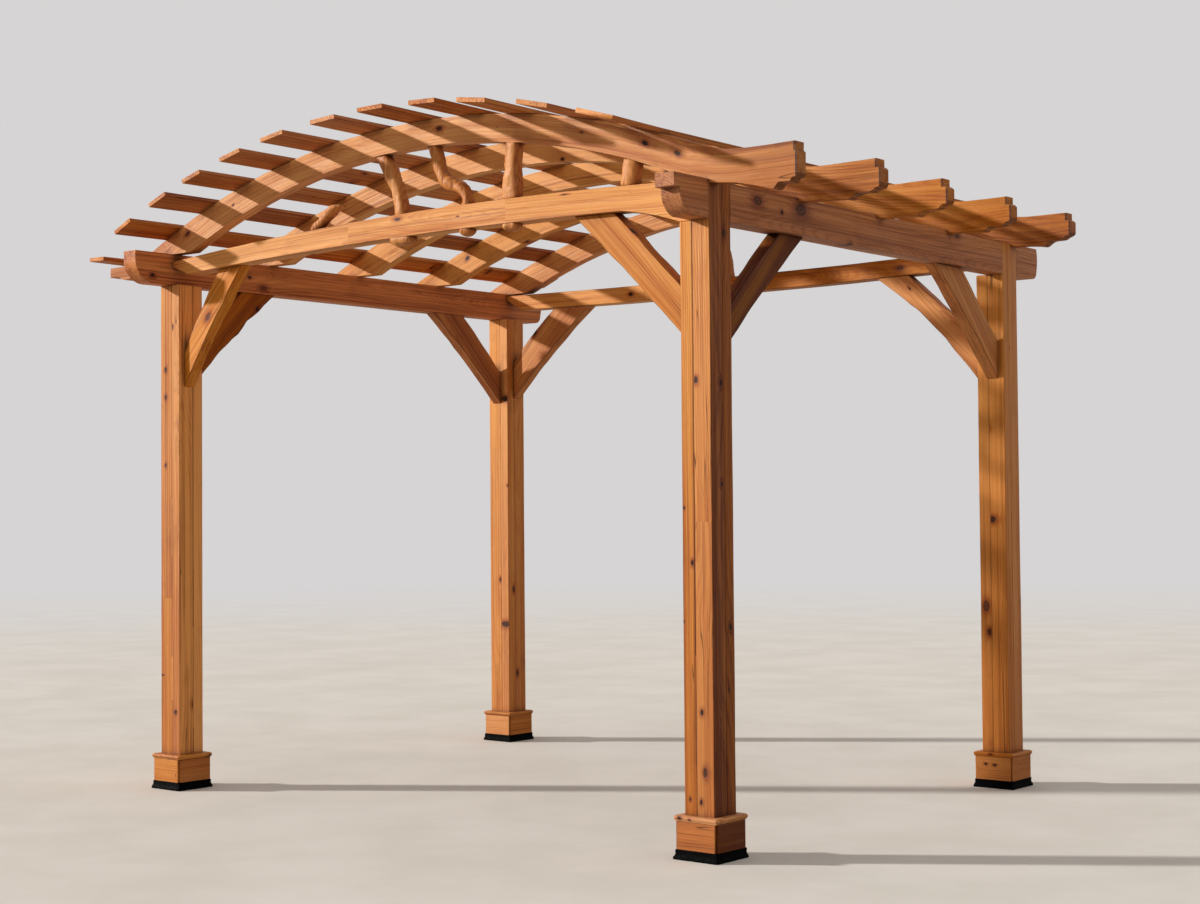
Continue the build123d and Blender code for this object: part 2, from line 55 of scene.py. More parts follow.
# ---------------------------------------------------------------- node trees
class Tree:
    """The node tree of a material or world, emptied, with short calls for the nodes used here."""

    def __init__(self, owner):
        owner.use_nodes = True
        self.owner = owner
        self.tree = owner.node_tree
        self.tree.nodes.clear()

    def node(self, kind, sockets=None, **props):
        n = self.tree.nodes.new("ShaderNode" + kind)
        for key, value in props.items():
            setattr(n, key, value)
        for key, value in (sockets or {}).items():
            self.put(n.inputs[key], value)
        return n

    def put(self, socket, value):
        if isinstance(value, bpy.types.NodeSocket):
            self.tree.links.new(value, socket)
        else:
            socket.default_value = value

    def m(self, op, a, b=0.0):
        return self.node("Math", {0: a, 1: b}, operation=op).outputs[0]

    def add(self, a, *others):
        for b in others:
            a = self.m("ADD", a, b)
        return a

    def sub(self, a, b):
        return self.m("SUBTRACT", a, b)

    def mul(self, a, b):
        return self.m("MULTIPLY", a, b)

    def vm(self, op, a, b=(0.0, 0.0, 0.0)):
        n = self.node("VectorMath", {0: a, 1: b}, operation=op)
        return n.outputs["Value" if op == "LENGTH" else "Vector"]

    def xyz(self, x, y, z):
        return self.node("CombineXYZ", {0: x, 1: y, 2: z}).outputs[0]

    def split(self, v):
        return self.node("SeparateXYZ", {0: v}).outputs

    def noise(self, vec, scale=1.0, detail=2.0, rough=0.5, colour=False):
        sockets = {"Vector": vec, "Scale": scale, "Detail": detail, "Roughness": rough}
        return self.node("TexNoise", sockets).outputs["Color" if colour else 0]

    def drawn(self, vec, along, across, detail, rough=0.5, colour=False):
        """Noise drawn out along the grain, by its cells a metre along it and across it."""
        return self.noise(self.vm("MULTIPLY", vec, (along, across, across)), 1.0, detail, rough, colour)

    def step(self, x, lo, hi, a=0.0, b=1.0):
        """A smooth step from a to b, while x goes from lo to hi."""
        sockets = {0: x, 1: lo, 2: hi, 3: a, 4: b}
        return self.node("MapRange", sockets, interpolation_type="SMOOTHSTEP").outputs[0]

    def mix(self, fac, a, b, blend="MIX"):
        n = self.node("Mix", data_type="RGBA", blend_type=blend)
        for i, v in ((0, fac), (6, a), (7, b)):
            self.put(n.inputs[i], v)
        return n.outputs[2]

    def attr(self, name):
        n = self.node("Attribute", attribute_name=name, attribute_type="GEOMETRY")
        return n.outputs["Vector"]

    def out(self, shader):
        self.node("OutputMaterial", {"Surface": shader})
        return self.owner


def rgb(r, g, b):
    """An sRGB colour of 0 to 255 as the linear one that Blender takes."""
    def lin(c):
        c /= 255
        return c / 12.92 if c <= 0.04045 else ((c + 0.055) / 1.055) ** 2.4
    return (lin(r), lin(g), lin(b), 1.0)


# ---------------------------------------------------------------- wood
# Every length along or across the grain is in metres.
KNOTS_ALONG, KNOTS_ROUND = 2.3, 7.5     # cells a metre, with a knot at most in each
PITH_TURN = 0.12        # the distance across the board of one radian round the pith
KNOT_LONG = 0.6         # a knot's width for its length
KNOT_MOST = 0.0100      # radius of the largest knot
LEAST = 0.0001          # keeps a division from zero
RING = 0.011            # from one growth ring to the next
FINE_RING = 0.27        # the finer rings between, as a share of that
SWERVE = 0.011          # how far the rings go round a knot
SWAY = 0.20             # how far they wander along the board
BUMP, BUMP_DEPTH = 0.6, 0.0012
ROUGH = (0.42, 0.66)
CREASE_SHADE_REACH = 0.055         # painted shade: boards closer than this darken each other where they meet

RED_LINE = rgb(124, 56, 20)
CHECK = rgb(46, 22, 10)
STAIN = rgb(138, 62, 26)
GRIME = rgb(110, 62, 34)
SHADOW = rgb(52, 25, 12)
KNOT_PALE, KNOT_DARK = rgb(120, 64, 32), rgb(84, 42, 20)
KNOT_PITH, KNOT_RIM, KNOT_SMALL = rgb(30, 15, 8), rgb(34, 17, 9), rgb(27, 13, 7)
MARKS_EACH = 3          # listed knots that one board can have


def knots(T, g, amount):
    """The distance to the nearest knot as a multiple of its radius, and that radius."""
    u, v, w = T.split(g)
    wobble = T.sub(T.noise(g, 55.0, 2.0), 0.5)
    # Knots run out from the pith, so they are placed along the fibre and by angle round it.
    turn = T.mul(T.m("ARCTAN2", w, v), PITH_TURN)
    cell = T.xyz(T.mul(u, KNOTS_ALONG), T.mul(turn, KNOTS_ROUND), 0.0)
    sockets = {"Vector": cell, "Scale": 1.0, "Randomness": 0.95}
    nearest = T.node("TexVoronoi", sockets, voronoi_dimensions="2D", feature="F1").outputs
    metres = (KNOT_LONG / KNOTS_ALONG, 1 / KNOTS_ROUND, 0.0)
    delta = T.vm("MULTIPLY", T.vm("SUBTRACT", cell, nearest["Position"]), metres)
    chance = T.split(nearest["Color"])[0]
    radius = T.mul(T.m("POWER", T.step(chance, 0.52, 1.0), 1.8), KNOT_MOST * amount)
    radius = T.add(radius, LEAST)
    away = T.m("DIVIDE", T.add(T.vm("LENGTH", delta), T.mul(wobble, 0.006)), radius)
    by_hand = T.split(T.attr("mark_size"))
    size = radius
    for i in range(MARKS_EACH):
        far = T.vm("LENGTH", T.vm("MULTIPLY", T.attr("mark_%d" % i), (KNOT_LONG, 1.0, 1.0)))
        own = T.m("DIVIDE", T.add(far, T.mul(wobble, 0.005)), T.add(by_hand[i], LEAST))
        nearer = T.m("LESS_THAN", own, away)
        size = T.add(size, T.mul(nearer, T.sub(by_hand[i], size)))
        away = T.m("MINIMUM", away, own)
    return away, size


def rings(T, g, halo):
    """The dark late wood of the growth rings, and the finer rings between them."""
    slow = T.drawn(g, 0.5, 2.2, 2.0, colour=True)
    sway = T.vm("MULTIPLY", T.vm("SUBTRACT", slow, (0.5, 0.5, 0.5)), (0.0, SWAY, SWAY))
    r = T.vm("LENGTH", T.vm("MULTIPLY", T.vm("ADD", g, sway), (0.0, 1.0, 1.0)))
    r = T.add(r, T.mul(halo, SWERVE))
    fine = T.drawn(g, 2.2, 45.0, 3.0)
    saw = T.m("FRACT", T.add(T.m("DIVIDE", r, RING), T.mul(fine, 0.8)))
    late = T.mul(T.step(saw, 0.30, 0.90), T.step(saw, 0.94, 1.0, 1.0, 0.0))
    vary = T.drawn(g, 0.8, 12.0, 2.0)
    late = T.mul(late, T.step(vary, 0.32, 0.70, 0.15, 1.0))
    thin = T.m("FRACT", T.add(T.m("DIVIDE", r, RING * FINE_RING), T.mul(fine, 1.2)))
    thin = T.mul(T.step(thin, 0.4, 0.95), T.step(vary, 0.4, 0.65, 1.0, 0.35))
    return late, thin


def heartwood(T, away, size):
    """The colour inside a knot: rings round a dark pith within a dark rim, or all dark if small."""
    col = T.mix(T.step(T.m("SINE", T.mul(away, 16.0)), -0.5, 1.0), KNOT_PALE, KNOT_DARK)
    col = T.mix(T.step(away, 0.12, 0.34, 1.0, 0.0), col, KNOT_PITH)
    col = T.mix(T.step(away, 0.62, 0.86), col, KNOT_RIM)
    return T.mix(T.step(size, 0.0085, 0.0115, 1.0, 0.0), col, KNOT_SMALL)


def wood(name, light, mid, dark, amount=1.0, contrast=1.0):
    """Solid timber: growth rings round an off-centre pith, fibre, knots, drying checks and stains, with
    painted shade in the creases where boards meet.

    It reads each board's own grain coordinates, in metres with x along the fibre, its tone, and the
    places and sizes of the listed knots."""
    T = Tree(bpy.data.materials.new(name))
    g = T.attr("grain")
    darker, brighter, richer = T.split(T.attr("tone"))
    away, size = knots(T, g, amount)
    knot = T.step(away, 0.85, 1.12, 1.0, 0.0)
    halo = T.step(away, 0.9, 3.4, 1.0, 0.0)
    late, thin = rings(T, g, halo)

    # Fibre: long streaks at several sizes, and short pores.
    streak = T.drawn(g, 0.9, 85.0, 3.0, 0.65)
    lines = T.drawn(T.vm("ADD", g, (7.3, 2.1, 0.4)), 0.7, 120.0, 2.0)
    fibre = T.drawn(g, 9.0, 520.0, 2.0, 0.6)
    band = T.drawn(g, 0.35, 17.0, 2.0, 0.55)
    patch = T.drawn(g, 1.0, 4.5, 3.0, 0.6)

    fac = 0.42
    for layer, middle, weight in (
            (late, 0.25, 0.26), (thin, 0.3, 0.16), (streak, 0.5, 0.95), (band, 0.5, 0.70),
            (patch, 0.5, 0.55)):
        fac = T.add(fac, T.mul(T.sub(layer, middle), weight * contrast))
    fac = T.add(fac, T.mul(T.sub(fibre, 0.5), 0.35), darker, T.mul(halo, 0.30))
    ramp = T.node("ValToRGB", {0: fac})
    e = ramp.color_ramp.elements
    e[0].position, e[0].color = 0.0, light
    e[1].position, e[1].color = 1.0, dark
    e.new(0.45).color = mid
    col = ramp.outputs[0]
    red = T.mul(T.step(lines, 0.55, 0.61), T.step(band, 0.38, 0.56))
    col = T.mix(T.mul(red, 0.50 * contrast), col, RED_LINE)
    sap = T.step(T.drawn(g, 0.3, 9.0, 1.0), 0.60, 0.68)
    col = T.mix(T.mul(sap, 0.25), col, light)

    # Checks: fine dark cracks along the grain. Then the knots with their stains, grime, and painted
    # shade in the creases where boards meet.
    crack = T.step(T.m("ABSOLUTE", T.sub(T.drawn(g, 0.8, 30.0, 1.0), 0.5)), 0.0, 0.011, 1.0, 0.0)
    crack = T.mul(crack, T.step(T.drawn(g, 1.4, 6.0, 2.0), 0.57, 0.66))
    col = T.mix(T.mul(T.step(away, 1.0, 2.2, 1.0, 0.0), 0.55), col, STAIN)
    col = T.mix(T.mul(crack, 0.75), col, CHECK)
    col = T.mix(T.mul(knot, 0.95), col, heartwood(T, away, size))
    grime = T.drawn(g, 5.0, 9.0, 4.0, 0.65)
    col = T.mix(T.step(grime, 0.52, 0.85, 0.0, 0.35), col, GRIME, "MULTIPLY")
    # Painted shade: ambient occlusion darkens the colour toward SHADOW in creases and where boards
    # meet.
    free = T.node("AmbientOcclusion", {"Distance": CREASE_SHADE_REACH}, samples=5).outputs["AO"]
    col = T.mix(T.step(free, 0.32, 0.86, 0.70, 0.0), col, SHADOW)
    sockets = {"Saturation": T.add(1.0, richer), "Value": T.add(1.0, brighter), "Color": col}
    col = T.node("HueSaturation", sockets).outputs[0]

    height = T.sub(T.mul(fibre, 0.5), T.mul(crack, 1.6))
    height = T.add(height, T.add(T.mul(late, 0.35), T.mul(thin, 0.2)))
    height = T.sub(height, T.mul(knot, 0.8))
    height = T.add(height, T.mul(T.drawn(g, 7.0, 20.0, 1.0), 2.2))
    sockets = {"Strength": BUMP, "Distance": BUMP_DEPTH, "Height": height}
    normal = T.node("Bump", sockets).outputs[0]
    rough = T.step(T.add(T.mul(streak, 0.6), T.mul(patch, 0.4)), 0.3, 0.7, *ROUGH)
    sockets = {"Base Color": col, "Roughness": rough, "Normal": normal, "Specular IOR Level": 0.2}
    return T.out(T.node("BsdfPrincipled", sockets).outputs[0])


WOODS = {
    "cedar": wood("wood_cedar", rgb(224, 153, 76), rgb(192, 112, 47), rgb(120, 57, 20)),
    "slat_wood": wood("wood_slat", rgb(208, 136, 70), rgb(168, 91, 41), rgb(102, 48, 19),
                      contrast=1.1),
    "calm_wood": wood("wood_calm", rgb(224, 153, 80), rgb(192, 112, 50), rgb(120, 57, 22),
                      contrast=0.55),
    "branch_wood": wood("wood_branch", rgb(223, 154, 84), rgb(188, 110, 52), rgb(116, 57, 23),
                        amount=1.3),
}


def shoe_material():
    """Dull black, with pale dust in its roughness."""
    T = Tree(bpy.data.materials.new("black_shoe"))
    p = T.node("TexCoord").outputs["Object"]
    n = T.noise(p, 120.0, 5.0, 0.65)
    dust = T.mul(T.step(T.noise(p, 26.0, 5.0, 0.7), 0.54, 0.74), T.step(n, 0.45, 0.62))
    col = T.mix(T.mul(dust, 0.4), rgb(3, 3, 3), rgb(40, 38, 35))
    normal = T.node("Bump", {"Strength": 0.7, "Distance": 0.002, "Height": n}).outputs[0]
    rough = T.step(n, 0.3, 0.7, 0.5, 0.85)
    sockets = {"Base Color": col, "Roughness": rough, "Normal": normal, "Specular IOR Level": 0.03}
    return T.out(T.node("BsdfPrincipled", sockets).outputs[0])


SHOE = shoe_material()


# ---------------------------------------------------------------- each board's own character
# Tone of a node's boards: place along the ramp (more is darker), value and saturation. A name with _x
# or _y is for the faces that look that way, and one with _1 for the length beyond the joint. The _x
# tones are painted light and shade on the faces that look along x. The key light does not reach the
# visible sides of these faces, toward +X, and the tones set those faces darker or lighter than the
# faces toward -Y. gable_tie_back_1 is a painted shadow on the back tie's length beyond its joint.
TONES = {
    "gable_tie_front": (-0.26, 0.07, 0.0),
    # gable_tie_back_1: painted shadow on the back tie's length beyond its joint.
    "gable_tie_back": (-0.18, 0.09, -0.01), "gable_tie_back_1": (0.06, -0.08, 0.03),
    "rafter_1": (-0.14, 0.01, -0.02), "rafter_2": (-0.10, 0.02, -0.03),
    "rafter_3": (-0.10, 0.02, -0.03), "rafter_4": (-0.08, 0.02, -0.03),
    "rafter_5": (-0.08, 0.02, -0.03),
    "gable_brace_front_right": (-0.06, 0.02, 0.0), "gable_brace_front_left": (-0.22, 0.10, 0.02),
    "gable_brace_back_right": (-0.22, 0.12, -0.05), "gable_brace_back_left": (-0.05, 0.02, 0.0),
    "side_brace_front_left": (0.22, -0.04, 0.06), "side_brace_front_right": (0.62, -0.36, 0.08),
    "side_brace_back_right": (0.0, 0.0, -0.06),
    "side_beam_left": (0.27, 0.38, -0.08), "side_beam_right": (0.13, -0.03, -0.07),
    # The _x tones of the posts: painted shade and light on their faces that look along x.
    "post_front_right": (0.02, 0.01, 0.02), "post_front_right_x": (0.35, -0.22, 0.0),
    "post_front_left": (0.0, 0.0, 0.0), "post_front_left_x": (-0.34, 0.36, -0.01),
    "post_back_right": (-0.14, 0.10, 0.0), "post_back_right_x": (-0.08, 0.02, 0.0),
    "post_back_left": (-0.16, 0.07, 0.0), "post_back_left_x": (-0.10, 0.10, 0.0),
    "gable_spokes_front": (-0.06, 0.02, -0.02), "gable_spokes_back": (0.0, 0.0, 0.0),
    # plinth_front_right_x: painted shade on the plinth's faces that look along x.
    "plinth_front_right": (0.14, -0.06, 0.0), "plinth_front_right_x": (0.60, -0.36, 0.06),
    "plinth_cap_front_right": (-0.10, 0.03, -0.10),
}
# Tones that are added to the board's own.
ALL_SLATS = Vector((-0.08, 0.03, 0.0))
SLAT_END = Vector((-0.18, 0.10, 0.02))
TAIL_ARRIS = Vector((0.50, -0.58, 0.10))
GROOVE = Vector((0.35, -0.50, 0.0))
POST_FOOT = Vector((0.13, -0.05, 0.0))
TAIL = Vector((0.24, -0.15, 0.06))
RAFTER_PALE = Vector((-0.16, 0.05, 0.0))
CORE_TONE = (0.9, -0.90, -0.3)      # of the dark gaps at a plinth's corners
ARRIS_DARKER = 0.03                 # an eased arris is this much darker on the ramp
POST_SHADE, TIMBER_SHADE, PLINTH_SHADE = -0.12, -0.34, 0.04     # and has its value changed by this
# Faces of the posts on which the groove down the glue line is deep, from this height up.
CLEAR_GROOVES, CLEAR_FROM = ("post_front_right_y", "post_front_left_x"), 0.8

# Knots and screw holes listed one by one: node, place and radius.
MARKS = {
    "post_front_right": [
        ((1.586, -1.255, 1.826), 0.008), ((1.561, -1.255, 1.128), 0.006),
        ((1.600, -1.255, 0.561), 0.007), ((1.541, -1.255, 0.229), 0.004),
        ((1.593, -1.255, 0.222), 0.006), ((1.655, -1.162, 2.392), 0.010),
        ((1.655, -1.190, 1.428), 0.006), ((1.655, -1.140, 0.880), 0.007)],
    "post_front_left": [
        ((-1.566, -1.255, 2.235), 0.006), ((-1.617, -1.255, 2.028), 0.007),
        ((-1.617, -1.255, 1.894), 0.007), ((-1.619, -1.255, 1.564), 0.006)],
    "gable_brace_front_left": [((-1.336, -1.225, 2.270), 0.013)],
    "side_brace_front_left": [((-1.565, -0.720, 2.362), 0.008)],
    "side_beam_left": [
        ((-1.565, -1.374, 2.478), 0.008), ((-1.565, -0.771, 2.520), 0.007),
        ((-1.565, -0.680, 2.472), 0.011)],
    "side_beam_right": [
        ((1.655, -0.930, 2.544), 0.017), ((1.655, -0.620, 2.543), 0.022),
        ((1.655, 0.675, 2.577), 0.012)],
    "gable_tie_back": [((1.067, 1.165, 2.520), 0.011)],
    "rafter_1": [((1.349, -1.255, 2.765), 0.009)],
    "post_back_right": [((1.545, 1.115, 0.858), 0.015), ((1.560, 1.115, 0.735), 0.010)],
    "plinth_back_right": [((1.546, 1.086, 0.112), 0.0045), ((1.592, 1.086, 0.110), 0.005)],
    "plinth_cap_front_right": [((1.512, -1.289, 0.158), 0.005), ((1.560, -1.289, 0.155), 0.004)],
    "plinth_cap_back_right": [((1.574, 1.081, 0.158), 0.0045)],
}
MARK_REACH = 0.004      # a mark this far off a face still counts as on it
NO_MARK = (Vector((9, 9, 9)), 0.0)

# Boards that are jointed end to end: axis and places of the joints.
JOINTS = {
    "gable_tie_front": (0, (-0.331, 0.611)), "gable_tie_back": (0, (-0.12,)),
    "post_front_right": (2, (1.284,)), "post_front_left": (2, (0.92,)),
    "post_back_left": (2, (1.697,)), "rafter_2": (0, (-0.30,)), "rafter_4": (0, (0.45,)),
}
# Posts whose timber shows little figure.
CALM = ("post_back_right", "post_back_left")
# How far the edges of a brace wander, as they follow the tree.
WANDER = {"side_brace_front_left": 0.011, "gable_brace_back_right": 0.006,
          "gable_brace_front_left": 0.006}
WANDER_LEAST = 0.0035
# Axis along which a kind of node is cut into short lengths, and their length.
STEPS = {"post": (2, 0.07), "side_beam": (1, 0.06), "slats": (1, 0.07), "rafter": (0, 0.045),
         "gable_tie": (0, 0.05)}
# How far the arrises of a kind of node are eased.
EASE = {"post": 0.0045, "slats": 0.0025, "rafter": 0.0065, "side_beam": 0.0035}
EASE_OTHERS = 0.004
ARRIS = 0.008           # width of the dark arris at the end of a rafter tail
NOTCH_DOWN = 0.036      # from a tail's top to below its notch


# ---------------------------------------------------------------- grain
def rafter_line(x):
    """Height and length along the middle line of a rafter at x."""
    def along(x):
        return ARCH_R * math.asin((x - ARCH_X) / ARCH_R)
    if x > FLARE_X:
        over = LEVEL_X - min(x, LEVEL_X)
        z = FLARE_Z - math.sqrt(FLARE_R ** 2 - over ** 2)
        return z, along(FLARE_X) + (x - FLARE_X) * FLARE_LENGTH
    if x < -SHELF_X:
        return SHELF_Z, along(-SHELF_X) + x + SHELF_X
    return ARCH_Z + math.sqrt(ARCH_R ** 2 - (x - ARCH_X) ** 2), along(x)


def brace_axes(node):
    """Along a brace, and across it in its own plane."""
    sx = 1 if "right" in node else -1
    sy = -1 if "front" in node else 1
    if node.startswith("gable"):
        return Vector((-sx * 0.70, 0, 0.71)), Vector((sx * 0.71, 0, 0.70)), Vector((0, 1, 0))
    return Vector((0, -sy * 0.70, 0.71)), Vector((0, sy * 0.71, 0.70)), Vector((1, 0, 0))


def grain_of(node, centre, normal):
    """A function from a point to its grain coordinates, for one board or face."""
    seed = Vector((rng.uniform(-40, 40), 0, 0))
    pith = Vector((0, rng.choice((-1, 1)) * rng.uniform(0.05, 0.15), rng.uniform(-0.10, 0.10)))
    if node.startswith("plinth"):
        pith = Vector((0, pith.z * 0.3, pith.y * 2.0))

    if node.startswith("rafter"):
        def at(p):
            z, s = rafter_line(p.x)
            return Vector((s, p.y - centre.y, p.z - z)) + seed + pith
        return at
    if node == "gable_tie_front":
        def at(p):
            z = TIE_Z + math.sqrt(TIE_R ** 2 - (p.x - TIE_X) ** 2)
            return Vector((p.x, p.y - centre.y, p.z - z)) + seed + pith
        return at
    if node.startswith("post"):
        axes = Matrix(((0, 0, 1), (1, 0, 0), (0, 1, 0)))
    elif "beam" in node or node.startswith("slats"):
        axes = Matrix(((0, 1, 0), (1, 0, 0), (0, 0, 1)))
    elif "brace" in node:
        axes = Matrix(brace_axes(node))
    elif "spokes" in node:
        d = Vector((centre.x * 0.3, 0, 1)).normalized()
        axes = Matrix((d, (0, 1, 0), d.cross(Vector((0, 1, 0)))))
    else:
        lies_in_x = abs(normal.y) > abs(normal.x) or "tie" in node
        along = Vector((1, 0, 0)) if lies_in_x else Vector((0, 1, 0))
        axes = Matrix((along, along.cross(Vector((0, 0, 1))), (0, 0, 1)))
    return lambda p: axes @ (p - centre) + seed + pith


def islands(bm):
    """The bmesh's faces, solid by solid."""
    seen, out = set(), []
    for f in bm.faces:
        if f in seen:
            continue
        todo, found = [f], []
        seen.add(f)
        while todo:
            g = todo.pop()
            found.append(g)
            for e in g.edges:
                for h in e.link_faces:
                    if h not in seen:
                        seen.add(h)
                        todo.append(h)
        out.append(found)
    return out


def boards(bm, node):
    """The faces board by board, as (solid, (face of a post, length between joints), faces)."""
    axis, cuts = JOINTS.get(node, (0, ()))
    out = []
    for faces in islands(bm):
        groups = {}
        for f in faces:
            c = f.calc_center_median()
            length, key = sum(c[axis] > cut for cut in cuts), ()
            if node.startswith("post"):
                across = abs(f.normal.y) >= abs(f.normal.x)
                outer = abs(c.x) > GLUE_X if across else abs(c.y) > GLUE_Y
                key = (across, (f.normal.y if across else f.normal.x) > 0, outer)
                if key != (True, False, True):      # only the front's outer board is jointed
                    length = 0
            groups.setdefault((key, length), []).append(f)
        out += [(len(out), k, groups[k]) for k in sorted(groups)]
    return out


# ---------------------------------------------------------------- painting
def corner_of(node):
    """The middle of a post's foot."""
    x = POST_X if node.endswith("right") else -POST_X
    return Vector((x, -POST_Y if "front" in node else POST_Y, 0))


def groove(c, node):
    """Whether a place is in the groove down a post's glue line."""
    at = corner_of(node)
    inside = POST / 2 - 0.0004
    return abs(c.x - at.x) < inside and abs(c.y - at.y) < inside


def spans(faces, i):
    """How far some faces reach along an axis."""
    at = [v.co[i] for f in faces for v in f.verts]
    return max(at) - min(at)


def on_face(f, p):
    """Whether a place is in a face's box."""
    return all(min(v.co[i] for v in f.verts) - MARK_REACH < p[i]
               < max(v.co[i] for v in f.verts) + MARK_REACH for i in range(3))


def marks_on(node, faces, at):
    """The listed marks on some faces, as three of (grain coordinates, radius)."""
    found = [(at(Vector(p)), r) for p, r in MARKS.get(node, ())
             if any(on_face(f, p) for f in faces)]
    return (found + [NO_MARK] * MARKS_EACH)[:MARKS_EACH]


def base_tone(node, side, length):
    """A node's tone in the length beyond a joint, on a face that looks that way, or anywhere."""
    for key in ("%s_%d" % (node, length), node + side, node):
        if key in TONES:
            return Vector(TONES[key])
    return Vector()


def tail_ends(bm):
    """A right rafter tail's end below its notch and above it, as x, and a height between them."""
    low = max(v.co.x for v in bm.verts)
    tip = [v.co for v in bm.verts if v.co.x > low - 0.045]
    top = max(c.z for c in tip)
    return low, max(c.x for c in tip if c.z > top - 0.006), top - NOTCH_DOWN


def face_tone(f, node, side, tone, shade, ends):
    """The tone of one face, from its board's: shade is its change of value if it is an arris."""
    c = f.calc_center_median()
    if shade is not None and node.startswith("post") and groove(c, node):
        deep = node + side in CLEAR_GROOVES and c.z > CLEAR_FROM
        return tone + GROOVE * (1.0 if deep else 0.3)
    if abs(f.normal.y) > 0.9:
        if node.startswith("slats"):
            return tone + SLAT_END
        if ends:
            low, high, split = ends
            if c.x > (high if c.z > split else low) - ARRIS * 1.1:
                return tone + TAIL_ARRIS
    return tone if shade is None else tone + Vector((ARRIS_DARKER, shade, 0.0))


def end_shade(node, p, side):
    """Rafters are darker toward the ends of both tails, and paler left of x = 1.1, fully so left of x =
    0.4. Posts are darker toward their feet below 1.2 m and paler above it, much more on the faces that
    look along y than on those that look along x.
    """
    if node.startswith("post"):
        k = 1.0 - p.z / 1.2
        return POST_FOOT * (k if k > 0 else k * (1.9 if side == "_y" else 0.3))
    if not node.startswith("rafter"):
        return Vector()
    tail = min(1.0, max(0.0, (abs(p.x) - 1.42) / 0.5))
    pale = min(1.0, max(0.0, (1.1 - p.x) / 0.7))
    return TAIL * tail + RAFTER_PALE * pale


def paint(bm, node, groups, eased_faces=(), shade=0.0):
    """Writes the grain coordinates, the tone and the listed marks of each group of faces."""
    names = ["grain", "tone", "mark_size"] + ["mark_%d" % i for i in range(MARKS_EACH)]
    layers = {n: bm.loops.layers.float_vector.new(n) for n in names}
    wide = 0.03 if node in TONES and not node.startswith("rafter") else 0.09
    ends = tail_ends(bm) if node.startswith("rafter") else None
    own_tone = {}
    for solid, (key, length), faces in groups:
        centre = sum((f.calc_center_median() for f in faces), Vector()) / len(faces)
        facing = faces[0].normal
        if node.startswith("plinth_") and "cap" not in node:
            lies_in_x = spans(faces, 0) > spans(faces, 1)
            facing = Vector((0, 1, 0)) if lies_in_x else Vector((1, 0, 0))
        at = grain_of(node, centre, facing)
        side = "_x" if abs(facing.x) > abs(facing.y) else "_y"
        free = Vector((rng.uniform(-wide, wide), rng.uniform(-0.03, 0.03),
                       rng.uniform(-0.03, 0.03)))
        own_tone.setdefault((solid, key), free)
        tone = base_tone(node, side, length) + own_tone[solid, key] + free * 0.3
        if node.startswith("slats"):
            tone += ALL_SLATS
        marks = marks_on(node, faces, at)
        sizes = Vector([r for p, r in marks])
        for f in faces:
            own = face_tone(f, node, side, tone, shade if f in eased_faces else None, ends)
            for loop in f.loops:
                g = at(loop.vert.co)
                loop[layers["grain"]] = g
                loop[layers["tone"]] = own + end_shade(node, loop.vert.co, side)
                loop[layers["mark_size"]] = sizes
                for i in range(MARKS_EACH):
                    loop[layers["mark_%d" % i]] = g - marks[i][0]


def place(bm, name, material, node, smooth=False):
    """Makes the piece that stands for a node."""
    me = bpy.data.meshes.new(name)
    bm.to_mesh(me)
    bm.free()
    me.materials.append(material)
    me.set_sharp_from_angle(angle=math.radians(42))
    ob = bpy.data.objects.new(name, me)
    bpy.context.collection.objects.link(ob)
    ob.modifiers.new("weighted", "WEIGHTED_NORMAL").keep_sharp = True
    if smooth:
        for poly in me.polygons:
            poly.use_smooth = True
    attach(ob, "root")
    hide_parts(node)


# ---------------------------------------------------------------- timber
def eased(bm, width):
    """Rounds the arrises that have room for it."""
    def broad(f):
        return f.calc_area() / max(e.calc_length() for e in f.edges) > 0.008
    edges = [e for e in bm.edges
             if len(e.link_faces) == 2 and e.calc_face_angle(0) > math.radians(35)
             and e.calc_length() > 0.012 and all(broad(f) for f in e.link_faces)]
    bevel(bm, edges, width)


def bevel(bm, edges, width):
    bmesh.ops.bevel(bm, geom=edges, offset=width, segments=2, profile=0.6, affect="EDGES",
                    clamp_overlap=True)


def cut(bm, geom, axis, at):
    """Cuts faces along a plane across an axis."""
    normal = Vector((axis == 0, axis == 1, axis == 2))
    bmesh.ops.bisect_plane(bm, geom=geom, plane_co=normal * at, plane_no=normal, dist=1e-6)


def chop(bm, axis, step, extra=()):
    """Cuts every face at even steps along an axis, so that it can bend a little."""
    lo = min(v.co[axis] for v in bm.verts)
    hi = max(v.co[axis] for v in bm.verts)
    n = max(1, round((hi - lo) / step))
    for at in [lo + (hi - lo) * i / n for i in range(1, n)] + list(extra):
        cut(bm, bm.verts[:] + bm.edges[:] + bm.faces[:], axis, at)


def cut_tail(bm):
    """Cuts the narrow strips along a tail's ends that are painted as dark arrises."""
    low, high, split = tail_ends(bm)
    for lip in (low, high):
        for axis, at in ((0, lip - ARRIS), (2, split)):
            near = [f for f in bm.faces
                    if abs(f.normal.y) > 0.9 and f.calc_center_median().x > lip - 0.06]
            edges = dict.fromkeys(e for f in near for e in f.edges)
            verts = dict.fromkeys(v for f in near for v in f.verts)
            cut(bm, near + list(edges) + list(verts), axis, at)


def wave(p, k=0.0):
    """Smooth noise of a place, for moving a point to and fro."""
    return noise.noise(p + Vector((k, 1.7 * k, 0.3)))


def uneven(bm, amount, size):
    """Moves every point a little, as sawn and planed timber is never quite true."""
    for v in bm.verts:
        p = v.co / size
        v.co += Vector((wave(p), wave(p, 9.0), wave(p, 17.0))) * amount


